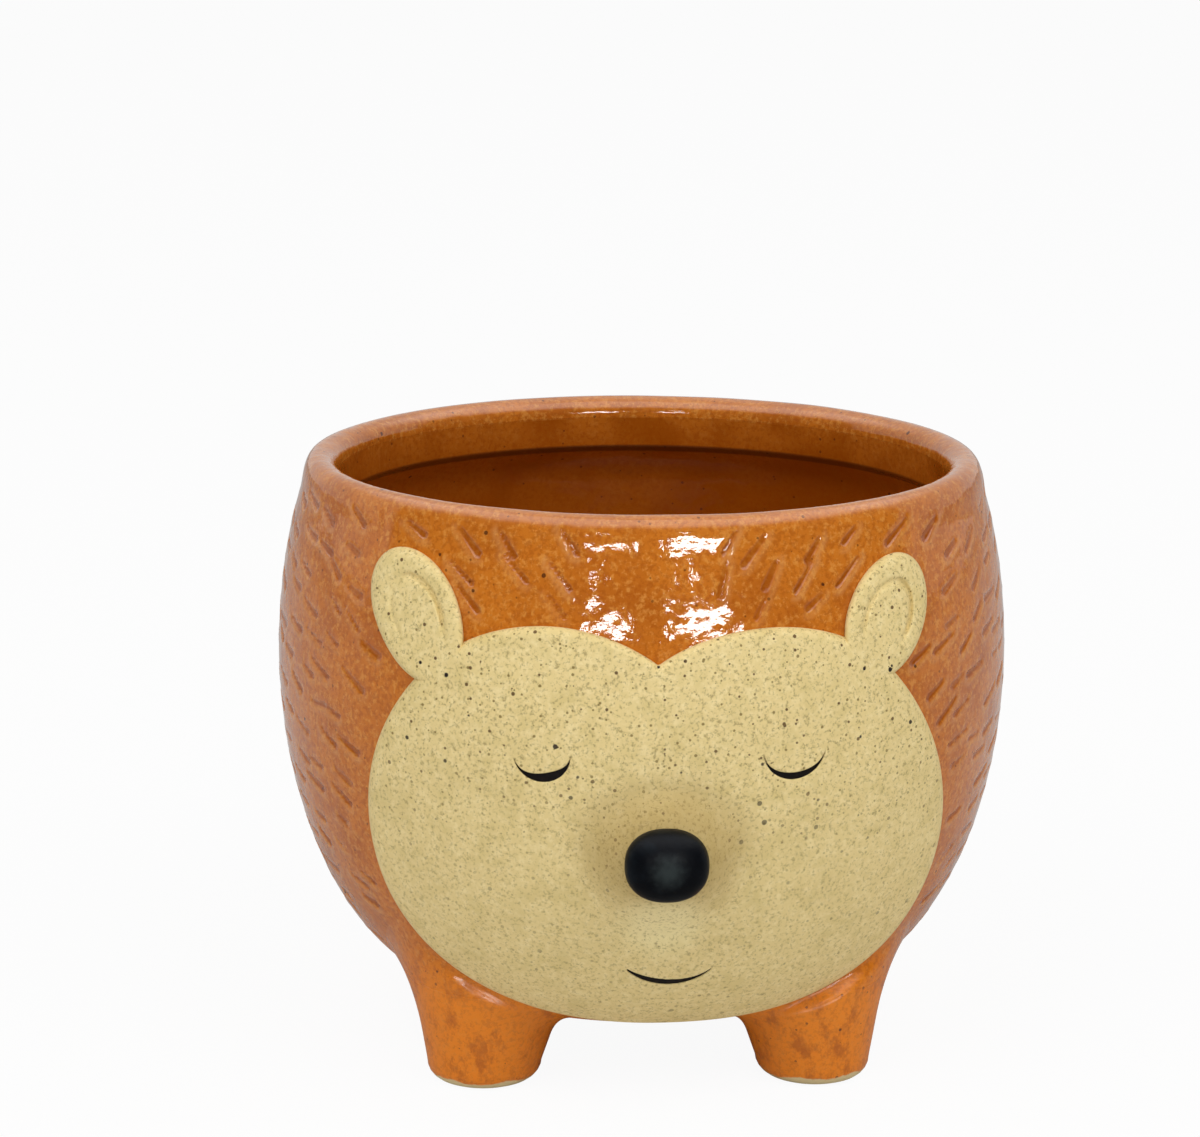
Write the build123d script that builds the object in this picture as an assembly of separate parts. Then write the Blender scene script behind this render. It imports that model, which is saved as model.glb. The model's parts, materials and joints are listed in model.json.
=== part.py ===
from build123d import *
from math import asin, cos, degrees, radians, sin, sqrt, tan
import os

os.makedirs("parts", exist_ok=True)

# Animal shaped planter in glazed stoneware, in millimetres. The pot stands on four feet, +Z is up,
# the face looks along -Y, and left is the side of the lower X. The whole object is centred over the
# origin, on the surface that it stands on, so the pot's axis lies a little behind the origin.

# Pot: half an ellipse turned about the axis, on a flat base, with a rolled rim over a collar.
base_radius = 37.0
base_height = 12.5
belly_bulge = 37.0
belly_rise = 67.5
shoulder_rise = 32.0
rim_rise = 8.3
rim_turn_in = 4.28
lip_width = 3.9
rim_inner_drop = 3.4
collar_depth = 10.9
collar_edge_round = 1.0
undercut_depth = 4.0
wall_thickness = 5.5
floor_thickness = 7.0
drain_radius = 5.0

# Face: a sheet of pale clay pressed on the front. Its outline goes through points given as shares
# of its left half width and of its height, outwards and up from the middle of the cheeks. It was
# cut by hand, so the right cheek is fuller and the notch stands a little to the left.
face_thickness = 1.8
face_half_width = 55.4
face_foot_rise = 3.5
face_top_rise = 20.4
face_bottom_share = -0.4976
left_chin_shares = (0.4675, -0.4550)
left_jaw_shares = (0.8394, -0.2927)
left_temple_shares = (0.9134, 0.2666)
left_brow_shares = (0.6679, 0.4467)
left_crown_shares = (0.3339, 0.4964)
right_chin_shares = (0.4838, -0.4704)
right_jaw_shares = (0.8556, -0.3246)
right_cheek_share = 1.0199
right_temple_shares = (0.9025, 0.2642)
right_brow_shares = (0.6606, 0.4408)
right_crown_shares = (0.3249, 0.4929)
notch_shares = (-0.0226, 0.4194)
notch_angle = 36.0

# Snout: a blunt cone on the front of the face, with the nose on its tip.
snout_drop = 1.5
snout_length = 5.0
snout_tip_radius = 6.6
snout_tip_drop = 1.2
snout_root_radius = 14.8
snout_blend = 8.0

# Ears: rounded tabs above the brows, each with a pressed groove inside its edge.
ear_thickness = 2.6
left_ear_shift = 7.5
left_ear_stand = 6.5
right_ear_shift = 5.0
right_ear_stand = 5.4
ear_half_width = 8.3
ear_half_length = 11.6
ear_lean_angle = 16.0
ear_border = 3.3
ear_groove_width = 1.0
ear_groove_depth = 0.8

# Nose: a squarish round bead that the snout's tip is let into.
nose_width = 15.8
nose_tall = 13.9
nose_proud = 6.8
nose_seat_depth = 2.8
nose_rise = 1.3
nose_corner_share = 0.4242
nose_round_share = 0.8214
nose_edge_share = 0.4792

# Eyes and mouth: pointed crescent slots filled with dark slip, a little below the surface.
slot_floor = 0.6
slip_recess = 0.3
left_eye_offset = 22.8
left_eye_width = 10.5
right_eye_offset = 24.6
right_eye_width = 11.8
eye_rise = 17.6
eye_sag = 4.8
eye_stroke = 1.5
mouth_offset = 1.9
mouth_drop = 26.7
mouth_width = 16.2
mouth_sag = 3.4
mouth_stroke = 1.3

# Feet: four tapered stumps that lean outwards and run into the belly with a soft fillet.
foot_stand_out = 10.7
foot_bearing_angle = 44.0
foot_lean_angle = 5.0
foot_taper_angle = 15.0
foot_sole_radius = 10.5
foot_sole_round = 3.4
foot_blend = 6.0
foot_seat_inset = 0.4

# Drain plug: a soft stopper with a lifting knob, standing on the floor of the pot.
plug_clearance = 0.1
plug_taper = 0.5
plug_head_radius = 8.5
plug_head_thickness = 2.2
plug_knob_radius = 3.2
plug_knob_height = 4.4
plug_round = 0.9

# Cutting bodies run this far past what they cut.
overrun = 5.0

# Heights and radii that follow from the sizes above.
belly_height = base_height + belly_rise
shoulder_height = belly_height + shoulder_rise
rim_height = shoulder_height + rim_rise
collar_bottom = rim_height - collar_depth
floor_height = base_height + floor_thickness
inner_bulge = belly_bulge - wall_thickness
inner_rise = belly_rise - floor_thickness
widest_radius = base_radius + belly_bulge
shoulder_radius = base_radius + belly_bulge * sqrt(1 - (shoulder_rise / belly_rise) ** 2)
rim_crown_radius = shoulder_radius - rim_turn_in
mouth_radius = rim_crown_radius - lip_width

# Places on the front that follow from the belly, each part from the one that carries it.
face_tall = belly_rise + face_top_rise - face_foot_rise
cheek_height = base_height + face_foot_rise - face_bottom_share * face_tall
snout_height = cheek_height - snout_drop
snout_reach = widest_radius + face_thickness + snout_length
nose_height = snout_height + nose_rise
nose_tip_reach = snout_reach + nose_proud
nose_thickness = nose_proud + nose_seat_depth
axis_y = (nose_tip_reach - widest_radius) / 2

# Feet stand round the base, each on its own bearing from the front or the back.
foot_offset_x = (base_radius + foot_stand_out) * sin(radians(foot_bearing_angle))
foot_offset_y = (base_radius + foot_stand_out) * cos(radians(foot_bearing_angle))


def ellipse_angle(height, rise):
    """Angle in degrees at which the belly's ellipse, or one inside or round it, comes to a height."""
    return degrees(asin((height - belly_height) / rise))


def side_arc(bulge, rise, top):
    """Elliptical arc of a half section, from under its centre up to a height."""
    return EllipticalCenterArc(
        (base_radius, belly_height),
        bulge,
        rise,
        start_angle=-90,
        arc_size=90 + ellipse_angle(top, rise),
    )


def turned(edges):
    """A closed half section in X and Z, turned about the pot's axis."""
    return Pos(0, axis_y, 0) * revolve(Plane.XZ * make_face(edges), Axis.Z)


def skin(proud):
    """Solid belly from the base to the shoulder, its outside proud of the pot's by an amount."""
    arc = side_arc(belly_bulge + proud, belly_rise + proud, shoulder_height)
    below, above = (0, (arc @ 0).Y), (0, (arc @ 1).Y)
    return turned([Line(below, arc @ 0), arc, Line(arc @ 1, above), Line(above, below)])


def filled_pot():
    """The pot's outside as one solid, with the crown of its rim level on top."""
    arc = side_arc(belly_bulge, belly_rise, shoulder_height)
    crown = (rim_crown_radius, rim_height)
    rim = Spline(arc @ 1, crown, tangents=[arc % 1, (-1, 0)])
    below, above = (0, base_height), (0, rim_height)
    return turned([Line(below, arc @ 0), arc, rim, Line(crown, above), Line(above, below)])


def pot_hollow():
    """Inside of the pot: the rolled lip, the collar, the undercut below it and the bowl."""
    bowl = side_arc(inner_bulge, inner_rise, collar_bottom - undercut_depth)
    lip = EllipticalCenterArc(
        (rim_crown_radius, rim_height - rim_inner_drop),
        rim_crown_radius - mouth_radius,
        rim_inner_drop,
        start_angle=180,
        arc_size=-90,
    )
    collar_edge = (mouth_radius, collar_bottom)
    below, above = (0, floor_height), (0, rim_height + overrun)
    crown_top = (rim_crown_radius, rim_height + overrun)
    return turned(
        [
            Line(below, bowl @ 0),
            bowl,
            Line(bowl @ 1, collar_edge),
            Line(collar_edge, lip @ 0),
            lip,
            Line(lip @ 1, crown_top),
            Line(crown_top, above),
            Line(above, below),
        ]
    )


def front_prism(sketch):
    """A drawing in X and Z, pulled forward from the pot's axis to beyond the nose."""
    return Pos(0, axis_y, 0) * extrude(Plane.XZ * sketch, nose_tip_reach + overrun)


def upright(radius, height):
    """Cylinder that stands on the origin."""
    return Cylinder(radius, height, align=(Align.CENTER, Align.CENTER, Align.MIN))


def pot_body():
    """Cast pot with its rim, collar, undercut and the drain hole in its floor."""
    body = filled_pot() - pot_hollow()
    collar_edge = body.edges().filter_by_position(Axis.Z, collar_bottom, collar_bottom)
    body = fillet(collar_edge, collar_edge_round)
    return body - Pos(0, axis_y, 0) * upright(drain_radius, floor_height + overrun)


def on_face(across_share, up_share):
    """Point of the face's drawing, from shares of its half width and of its height."""
    return (across_share * face_half_width, cheek_height + up_share * face_tall)


def cheek_line(hand, outline_shares):
    """One side of the face, from the bottom round the cheek and the brow to the notch, left -1, right 1."""
    points = [on_face(hand * across, up) for across, up in outline_shares]
    notch_slope = (-hand * cos(radians(notch_angle)), -sin(radians(notch_angle)))
    bottom, notch = on_face(0, face_bottom_share), on_face(*notch_shares)
    return Spline(bottom, *points, notch, tangents=[(hand, 0), notch_slope])


def face_outline():
    """Heart topped disc between its two sides."""
    left = cheek_line(
        -1,
        [
            left_chin_shares,
            left_jaw_shares,
            (1, 0),
            left_temple_shares,
            left_brow_shares,
            left_crown_shares,
        ],
    )
    right = cheek_line(
        1,
        [
            right_chin_shares,
            right_jaw_shares,
            (right_cheek_share, 0),
            right_temple_shares,
            right_brow_shares,
            right_crown_shares,
        ],
    )
    return make_face([left, right])


def snout_dome():
    """Blunt cone on the front of the face, turned about a level axis through its tip."""
    tip = (0, snout_reach)
    root_corner = (snout_root_radius, widest_radius - wall_thickness)
    root = (0, widest_radius - wall_thickness)
    side = Spline(
        tip,
        (snout_tip_radius, snout_reach - snout_tip_drop),
        root_corner,
        tangents=[(1, 0), (snout_root_radius - snout_tip_radius, root_corner[1] - snout_reach)],
    )
    section = make_face([side, Line(root_corner, root), Line(root, tip)])
    forward = Plane(origin=(0, axis_y, snout_height), x_dir=(1, 0, 0), z_dir=(0, 0, -1))
    return revolve(forward * section, Axis((0, axis_y, snout_height), (0, -1, 0)))


def crescent(width, sag, stroke):
    """Downward crescent between two arcs that share their pointed ends."""
    left, right = (-width / 2, 0), (width / 2, 0)
    lower = ThreePointArc(left, (0, -sag), right)
    upper = ThreePointArc(right, (0, stroke - sag), left)
    return make_face([lower, upper])


def ear_outline(root, inset=0.0):
    """Leaning oval of an ear of the right side, rooted at the brow, or one inside its edge by an inset."""
    brow_shares, shift, stand = root
    oval = Ellipse(ear_half_width - inset, ear_half_length - inset)
    return Pos(*on_face(*brow_shares)) * Rot(0, 0, -ear_lean_angle) * Pos(shift, stand) * oval


def both_sides(solid):
    """A piece of the right side together with its likeness on the left, by name."""
    return {"left": mirror(solid, Plane.YZ), "right": solid}


outside = filled_pot()
slip_seat = skin(slot_floor)
slip_top = skin(face_thickness - slip_recess)



def slot_at(across, height, width, sag, stroke):
    """Prism through the front for a crescent whose ends stand at a height."""
    return front_prism(Pos(across, height) * crescent(width, sag, stroke))


# Slots of the closed eyes and the mouth, as drawn on the front.
eye_height = cheek_height + eye_rise
eye_slots = {
    "left": slot_at(-left_eye_offset, eye_height, left_eye_width, eye_sag, eye_stroke),
    "right": slot_at(right_eye_offset, eye_height, right_eye_width, eye_sag, eye_stroke),
}
mouth_slot = slot_at(mouth_offset, cheek_height - mouth_drop, mouth_width, mouth_sag, mouth_stroke)


def blank_face():
    """Face with its snout, trimmed to the outline and seated on the pot, before its slots are cut."""
    joined = skin(face_thickness) + snout_dome()
    root = joined.edges().filter_by(GeomType.BSPLINE)
    blended = fillet(root, snout_blend)
    return (blended & front_prism(face_outline())) - outside


def blank_ear(root):
    """Ear of the right side with its pressed groove, seated on the pot, with no face beside it."""
    tab = (skin(ear_thickness) & front_prism(ear_outline(root))) - outside
    ring = ear_outline(root, ear_border) - ear_outline(root, ear_border + ear_groove_width)
    groove = front_prism(ring) - skin(ear_thickness - ear_groove_depth)
    return tab - groove


def nose(face):
    """Squarish bead, round at the front, with the snout's tip let into its back."""
    corner = nose_corner_share * min(nose_width, nose_tall)
    block = extrude(RectangleRounded(nose_width, nose_tall, corner), nose_thickness)
    edge_round = min(nose_round_share * corner, nose_edge_share * nose_thickness)
    bead = fillet(block.faces().filter_by(GeomType.PLANE).edges(), edge_round)
    front = Plane(origin=(0, axis_y - nose_tip_reach, nose_height), x_dir=(-1, 0, 0), z_dir=(0, 1, 0))
    return front * bead - face


def foot():
    """Right front foot: a leaning stump with a round sole, filleted into the belly and cut to it."""
    top_height = base_height + belly_rise / 2
    lean = top_height * tan(radians(foot_lean_angle))
    top_radius = foot_sole_radius + top_height * tan(radians(foot_taper_angle))
    sole = Pos(foot_offset_x, axis_y - foot_offset_y, 0) * Circle(foot_sole_radius)
    top = Pos(foot_offset_x - lean, axis_y - foot_offset_y + lean, top_height) * Circle(top_radius)
    stump = loft([sole, top], ruled=True)
    stump = fillet(stump.edges().sort_by(Axis.Z)[0], foot_sole_round)
    joined = skin(-foot_seat_inset) + stump
    root = joined.edges().filter_by(GeomType.BSPLINE).filter_by(lambda edge: edge.center().X > 0)
    blended = fillet(root, foot_blend)
    return blended - outside


def drain_plug():
    """Stopper: a tapered stem in the drain hole, a flat head on the floor and a knob to lift it by."""
    stem_radius = drain_radius - plug_clearance
    standing = (Align.CENTER, Align.CENTER, Align.MIN)
    stem = Cone(stem_radius - plug_taper, stem_radius, floor_thickness, align=standing)
    head = upright(plug_head_radius, plug_head_thickness)
    head = fillet(head.edges().sort_by(Axis.Z)[-1], plug_round)
    knob = upright(plug_knob_radius, plug_knob_height)
    knob = fillet(knob.edges().sort_by(Axis.Z)[-1], plug_round)
    above_floor = head + Pos(0, 0, plug_head_thickness) * knob
    return Pos(0, axis_y, base_height) * (stem + Pos(0, 0, floor_thickness) * above_floor)


def export_piece(name, solid):
    """Write one piece under its own name."""
    export_step(solid, "parts/" + name + ".step")


plain_face = blank_face()
carved_face = plain_face - (mouth_slot - slip_seat)
for slot in eye_slots.values():
    carved_face -= slot - slip_seat

export_piece("pot_body", pot_body())
export_piece("face_relief", carved_face)
export_piece("nose", nose(plain_face))
export_piece("mouth", (mouth_slot & slip_top) - slip_seat)
export_piece("drain_plug", drain_plug())
for side, slot in eye_slots.items():
    export_piece("eye_" + side, (slot & slip_top) - slip_seat)

# Each ear ends against the edge of the face.
left_ear = mirror(blank_ear((left_brow_shares, left_ear_shift, left_ear_stand)), Plane.YZ)
right_ear = blank_ear((right_brow_shares, right_ear_shift, right_ear_stand))
export_piece("ear_left", left_ear - plain_face)
export_piece("ear_right", right_ear - plain_face)

# The front feet end against the lower edge of the face, and the rear ones are whole.
front_foot = foot()
rear_foot = mirror(front_foot, Plane.XZ.offset(-axis_y))
for side, stump in both_sides(front_foot).items():
    export_piece("foot_front_" + side, stump - plain_face)
for side, stump in both_sides(rear_foot).items():
    export_piece("foot_rear_" + side, stump)
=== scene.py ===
import bmesh
import bpy
import json
import math
import random
import numpy as np
from mathutils import Matrix, Vector, noise


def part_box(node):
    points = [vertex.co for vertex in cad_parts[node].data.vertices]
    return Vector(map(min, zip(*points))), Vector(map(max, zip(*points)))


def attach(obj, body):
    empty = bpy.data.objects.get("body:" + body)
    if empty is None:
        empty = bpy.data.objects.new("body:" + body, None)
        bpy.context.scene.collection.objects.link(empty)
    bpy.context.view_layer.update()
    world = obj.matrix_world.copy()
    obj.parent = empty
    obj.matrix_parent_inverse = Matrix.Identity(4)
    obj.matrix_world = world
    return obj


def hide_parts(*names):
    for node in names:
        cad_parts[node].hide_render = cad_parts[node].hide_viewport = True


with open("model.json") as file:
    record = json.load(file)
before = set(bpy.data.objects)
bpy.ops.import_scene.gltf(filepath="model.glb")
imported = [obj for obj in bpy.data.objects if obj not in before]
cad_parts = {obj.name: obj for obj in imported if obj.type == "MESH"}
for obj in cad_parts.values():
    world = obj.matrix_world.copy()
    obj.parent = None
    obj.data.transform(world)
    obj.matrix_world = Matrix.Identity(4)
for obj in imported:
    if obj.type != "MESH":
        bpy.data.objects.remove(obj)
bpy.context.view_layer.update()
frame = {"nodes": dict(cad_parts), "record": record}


# The pot: a round bowl of stoneware, cast with a rolled rim over a collar and with a drain hole in
# its floor. Short dents pressed into the leather-hard clay stand for fur. A runny amber glaze covers
# it inside and out. Shapes are in millimetres up to finished(), which takes them to metres.
MM = 0.001
FULL_TURN = 2 * math.pi


def box_mm(node):
    """Lowest and highest corner of a CAD node, in millimetres."""
    low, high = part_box(node)
    return Vector(low) / MM, Vector(high) / MM


mounts = {mount["name"]: Vector(mount["pos_m"]) / MM for mount in frame["record"]["mounts"]}
pot_low, pot_high = box_mm("pot_body")
axis_y = mounts["pot_mouth"].y
widest_radius = (pot_high.x - pot_low.x) / 2
base_height, rim_height = pot_low.z, pot_high.z
base_radius = 37.0
belly_height = 80.0
shoulder_height = 112.0
crown_radius = 65.3
crown_pull = 3.7
mouth_radius = 61.4
lip_drop = 3.4
collar_bottom = 109.4
collar_edge = 1.0
undercut = 4.0
wall = 5.5
floor_height = 19.5
drain_radius = 5.0
drain_edge = 0.8

outer_step = 0.78
low_step = 2.2
low_length = 22.0
longest_path = 200.0
outer_columns = 600
inner_columns = 150
belly_points, rim_points, lip_points = 400, 60, 20
lip_straight = 1.1
collar_points, bowl_points, drain_points = 4, 24, 5
collar_turn = 224


def arc(centre, radii, start, end, count):
    """Points on an elliptical arc of a half section, between two angles in degrees."""
    angles = np.radians(np.linspace(start, end, count))
    return np.array(centre) + np.array(radii) * np.column_stack([np.cos(angles), np.sin(angles)])


def even_rows(path, steps):
    """Points along a path at given distances from its start, with the distances."""
    gaps = np.linalg.norm(np.diff(path, axis=0), axis=1)
    lengths = np.concatenate([[0], np.cumsum(gaps)])
    where = np.concatenate([steps[steps < lengths[-1] - 0.5 * (steps[-1] - steps[-2])], [lengths[-1]]])
    return np.column_stack([np.interp(where, lengths, path[:, axis]) for axis in (0, 1)]), where


def belly_radius(height, proud=0.0):
    """Radius of the belly's outside at a height, or of a skin that stands proud of it."""
    rise = belly_height - base_height + proud
    share = np.clip(1 - ((height - belly_height) / rise) ** 2, 0, 1)
    return base_radius + (widest_radius - base_radius + proud) * np.sqrt(share)


def outer_path():
    """Half section of the outside, from the edge of the base up over the rim to the mouth."""
    bulge, rise = widest_radius - base_radius, belly_height - base_height
    top = math.degrees(math.asin((shoulder_height - belly_height) / rise))
    belly = arc((base_radius, belly_height), (bulge, rise), -90, top, belly_points)
    shoulder, crown = belly[-1], np.array([crown_radius, rim_height])
    ahead = belly[-1] - belly[-2]
    leaving = shoulder + crown_pull * ahead / np.linalg.norm(ahead)
    arriving = crown + np.array([crown_pull, 0])
    t = np.linspace(0, 1, rim_points)[1:-1, None]
    rest = 1 - t
    rim = shoulder * rest ** 3 + leaving * 3 * t * rest ** 2 + arriving * 3 * t ** 2 * rest + crown * t ** 3
    lip_radii = (crown_radius - mouth_radius, lip_drop)
    lip = arc((crown_radius, rim_height - lip_drop), lip_radii, 90, 180, lip_points)
    return np.concatenate([belly, rim, lip])


def inner_path():
    """Half section of the inside, from the mouth down the collar and the bowl to under the base."""
    bulge, rise = widest_radius - base_radius - wall, belly_height - floor_height
    bowl_top = math.degrees(math.asin((collar_bottom - undercut - belly_height) / rise))
    hole, edge = drain_radius + drain_edge, (drain_edge, drain_edge)
    collar_end = (mouth_radius + collar_edge, collar_bottom + collar_edge / 2)
    return np.concatenate([
        [(mouth_radius, rim_height - lip_drop - lip_straight)],
        arc(collar_end, (collar_edge, collar_edge), 180, collar_turn, collar_points),
        arc((base_radius, belly_height), (bulge, rise), bowl_top, -90, bowl_points),
        arc((hole, floor_height - drain_edge), edge, 90, 180, drain_points),
        arc((hole, base_height + drain_edge), edge, 180, 270, drain_points),
        [(base_radius - low_step, base_height)],
    ])


# The marks stand in staggered rings round the pot. Each is a short gouge of a round loop tool, widest
# and deepest at the end that points in towards the face, as fur lies, with a burr along its under side.
mark_seed = 11
mark_bottom, mark_top = 25.0, 115.5
mark_ring_gap = 6.2
mark_gap = 9.6
mark_scatter = 0.28
mark_half_length = (1.9, 3.7)
mark_half_width = (0.42, 0.74)
mark_depth = 0.55
faintest = 0.45
dent_edge = (0.25, -0.6)
burr_height = 0.11
burr_place, burr_width = 0.65, 0.62
burr_edge = (-0.3, 0.5)
fall_bearings = (0, 10, 18, 30, 46, 60, 75, 110, 150, 180)
fall_angles = (90, 60, 47, 41, 29, 22, 16, 16, 30, 60)
fall_heights, fall_shares = (30.0, 95.0), (0.55, 1.1)
fall_scatter = 7.0
mark_taper, mark_fade = 0.2, 0.35
mark_reach = 10.0
unmarked = 3.0

# The marks keep off the face, the ears and the feet, so the face's outline is drawn first.
face_centre_height = 58.0
face_bottom = 16.0
left_points = ((25.9, 19.6), (46.5, 33.3), (55.4, 58.0), (50.6, 80.5), (37.0, 95.7), (18.5, 99.9))
right_points = ((26.8, 18.3), (47.4, 30.6), (56.5, 58.0), (50.0, 80.3), (36.6, 95.2), (18.0, 99.6))
notch_offset, notch_height = -1.25, 93.4
notch_angle = 36.0
cheek_points = 500
face_margin = 2.0
ear_centres = {-1: (46.0, 99.9), 1: (42.9, 99.0)}
ear_half_width, ear_half_length = 8.3, 11.6
ear_lean = 16.0
ear_margin = 1.2
front_gap = 9.0
foot_margin = 20.0
foot_mark_top = 36.0


def smooth_curve(points, start, end, count):
    """Smooth curve through points that sets out and arrives in given directions."""
    points = np.array(points, float)
    gaps = np.linalg.norm(np.diff(points, axis=0), axis=1)
    knots = np.concatenate([[0], np.cumsum(gaps)])
    system = np.eye(len(points))
    slopes = np.zeros_like(points)
    slopes[0], slopes[-1] = start, end
    for i in range(1, len(points) - 1):
        before, after = gaps[i - 1], gaps[i]
        behind, ahead = points[i] - points[i - 1], points[i + 1] - points[i]
        system[i, i - 1:i + 2] = after, 2 * (before + after), before
        slopes[i] = 3 * (after / before * behind + before / after * ahead)
    slopes = np.linalg.solve(system, slopes)
    where = np.linspace(0, knots[-1], count)
    span = np.clip(np.searchsorted(knots, where, side="right") - 1, 0, len(gaps) - 1)
    gap = gaps[span][:, None]
    t = (where - knots[span])[:, None] / gap
    ends = (2 * t ** 3 - 3 * t ** 2 + 1) * points[span] + (3 * t ** 2 - 2 * t ** 3) * points[span + 1]
    return ends + gap * ((t ** 3 - 2 * t ** 2 + t) * slopes[span] + (t ** 3 - t ** 2) * slopes[span + 1])


def cheek(hand, points):
    """Angles from straight up, clockwise, and radii of one side of the face's outline, left -1, right 1."""
    slope = (-math.cos(math.radians(notch_angle)), -math.sin(math.radians(notch_angle)))
    ends = [(0, face_bottom), *points, (hand * notch_offset, notch_height)]
    line = smooth_curve(ends, (1, 0), slope, cheek_points) - np.array([0, face_centre_height])
    turns, radii = np.arctan2(hand * line[:, 0], line[:, 1]), np.hypot(line[:, 0], line[:, 1])
    return (turns[::-1], radii[::-1]) if hand > 0 else (turns, radii)


left_cheek, right_cheek = cheek(-1, left_points), cheek(1, right_points)
notch_turn = math.atan2(notch_offset, notch_height - face_centre_height)


def face_radius(turn):
    """Distance of the face's outline from its centre, at an angle clockwise from straight up."""
    return np.where(turn < notch_turn, np.interp(turn, *left_cheek), np.interp(turn, *right_cheek))


def inside_face(x, z):
    """How far a point of the front view lies inside the face's outline, negative outside it."""
    up = z - face_centre_height
    return face_radius(np.arctan2(x, up)) - np.hypot(x, up)


def kept_clear(x, y, z):
    """Whether a mark that reaches here would run into the face, an ear or a foot."""
    if y < 0:
        if inside_face(x, z) > -face_margin or abs(x) < front_gap:
            return True
        ear_x, ear_z = ear_centres[-1 if x < 0 else 1]
        across, along = abs(x) - ear_x, z - ear_z
        lean = math.radians(ear_lean)
        oval = math.hypot(
            (across * math.cos(lean) - along * math.sin(lean)) / (ear_half_width + ear_margin),
            (across * math.sin(lean) + along * math.cos(lean)) / (ear_half_length + ear_margin),
        )
        if oval < 1:
            return True
    sole = mounts["sole_front_right"]
    aside, away = abs(x) - sole.x, abs(y - axis_y) - abs(sole.y - axis_y)
    return z < foot_mark_top and math.hypot(aside, away) < foot_margin


def fur_marks(radii, heights, lengths):
    """Bearing, distance up the side, lean, half length, half width and depth of each pressed mark."""
    draw = random.Random(mark_seed)
    marks = []
    first, last = np.interp((mark_bottom, mark_top), heights, lengths)
    for ring, up in enumerate(np.arange(first, last, mark_ring_gap)):
        count = round(FULL_TURN * np.interp(up, lengths, radii) / mark_gap)
        for place in range(count):
            scatter = draw.uniform(-mark_scatter, mark_scatter)
            bearing = FULL_TURN * (place + ring % 2 / 2 + scatter) / count - math.pi
            along = up + mark_ring_gap * draw.uniform(-mark_scatter, mark_scatter)
            fall = np.interp(abs(math.degrees(bearing)), fall_bearings, fall_angles)
            fall *= np.interp(np.interp(along, lengths, heights), fall_heights, fall_shares)
            lean = math.copysign(math.radians(90 - min(fall, 90)), bearing)
            lean += math.radians(draw.gauss(0, fall_scatter))
            half_length = draw.uniform(*mark_half_length)
            half_width = draw.uniform(*mark_half_width)
            depth = mark_depth * draw.uniform(faintest, 1)
            clear = True
            for end in (-half_length, 0, half_length):
                there = along + end * math.cos(lean)
                radius, height = np.interp(there, lengths, radii), np.interp(there, lengths, heights)
                aim = bearing + end * math.sin(lean) / radius
                x, y = radius * math.sin(aim), axis_y - radius * math.cos(aim)
                clear = clear and not kept_clear(x, y, height)
            if clear and along < last:
                marks.append((bearing, along, lean, half_length, half_width, depth))
    return marks


def smooth_step(low, high, value):
    """Soft step from 0 at low to 1 at high."""
    share = np.clip((value - low) / (high - low), 0, 1)
    return share * share * (3 - 2 * share)


def wrapped(turns):
    """Angles brought to within half a turn either way."""
    return (turns + math.pi) % FULL_TURN - math.pi


def pressed(radii, lengths, bearings, marks):
    """Over the outside's grid: distance to the nearest mark's edge, pooled glaze, burrs and depth."""
    distance = np.full((len(radii), len(bearings)), unmarked)
    pool, burrs, inward = np.zeros((3, *distance.shape))
    for bearing, along, lean, half_length, half_width, depth in marks:
        rows = np.nonzero(np.abs(lengths - along) < mark_reach)[0]
        turns = wrapped(bearings - bearing)
        columns = np.nonzero(np.abs(turns) * np.interp(along, lengths, radii) < mark_reach)[0]
        right = turns[columns][None, :] * radii[rows][:, None]
        up = (lengths[rows] - along)[:, None] + 0 * right
        stroke = up * math.cos(lean) + right * math.sin(lean)
        across = right * math.cos(lean) - up * math.sin(lean)
        share = np.clip(stroke / half_length, -1, 1)
        beyond = np.maximum(np.abs(stroke) - half_length, 0)
        edge = np.hypot(beyond, across) - half_width * (1 - mark_taper * share)
        block = np.ix_(rows, columns)
        deep = 1 - mark_fade * (1 + share) / 2
        dent = depth * deep * smooth_step(*dent_edge, edge)
        under = smooth_step(*burr_edge, across * math.copysign(1, lean))
        burr = np.exp(-((edge - burr_place) / burr_width) ** 2) * under * (depth / mark_depth)
        pool[block] = np.where(edge < distance[block], deep * math.sqrt(depth / mark_depth), pool[block])
        burrs[block] = np.maximum(burrs[block], burr)
        inward[block] = np.maximum(inward[block], dent)
        distance[block] = np.minimum(distance[block], edge)
    burrs *= smooth_step(*burr_edge, distance)
    return distance, pool, burrs, inward - burr_height * burrs


# The clay's surface is not quite even. Every piece of it lies a little inside its CAD size, in soft
# waves: by this mean, and by up to this depth more or less.
wave_mean = 0.17
wave_depth = 0.14
wave_size = 17.0


def waves(places):
    """How far the clay lies inside its nominal surface at each place."""
    return wave_mean + wave_depth * np.array([noise.noise(Vector(place) / wave_size) for place in places])


def rolled_sheet(mesh, rows, columns, first_row=0):
    """Band round the Z axis, of radius 1, whose rows stand at whole heights from a first one up."""
    verts = bmesh.ops.create_grid(mesh, x_segments=columns, y_segments=rows - 1, size=1)["verts"]
    seam = [vert for vert in verts if abs(vert.co.x) > 1 - 1 / columns]
    for vert in verts:
        turn, row = (vert.co.x + 1) * math.pi, (vert.co.y + 1) / 2 * (rows - 1)
        vert.co = (math.cos(turn), math.sin(turn), first_row + row)
    bmesh.ops.remove_doubles(mesh, verts=seam, dist=1 / columns)


def rows_and_turns(mesh):
    """Row number of each vertex of a rolled sheet, and its angle round the axis from the start."""
    places = np.array([vert.co for vert in mesh.verts])
    return places[:, 2], np.arctan2(places[:, 1], places[:, 0]) % FULL_TURN


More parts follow.
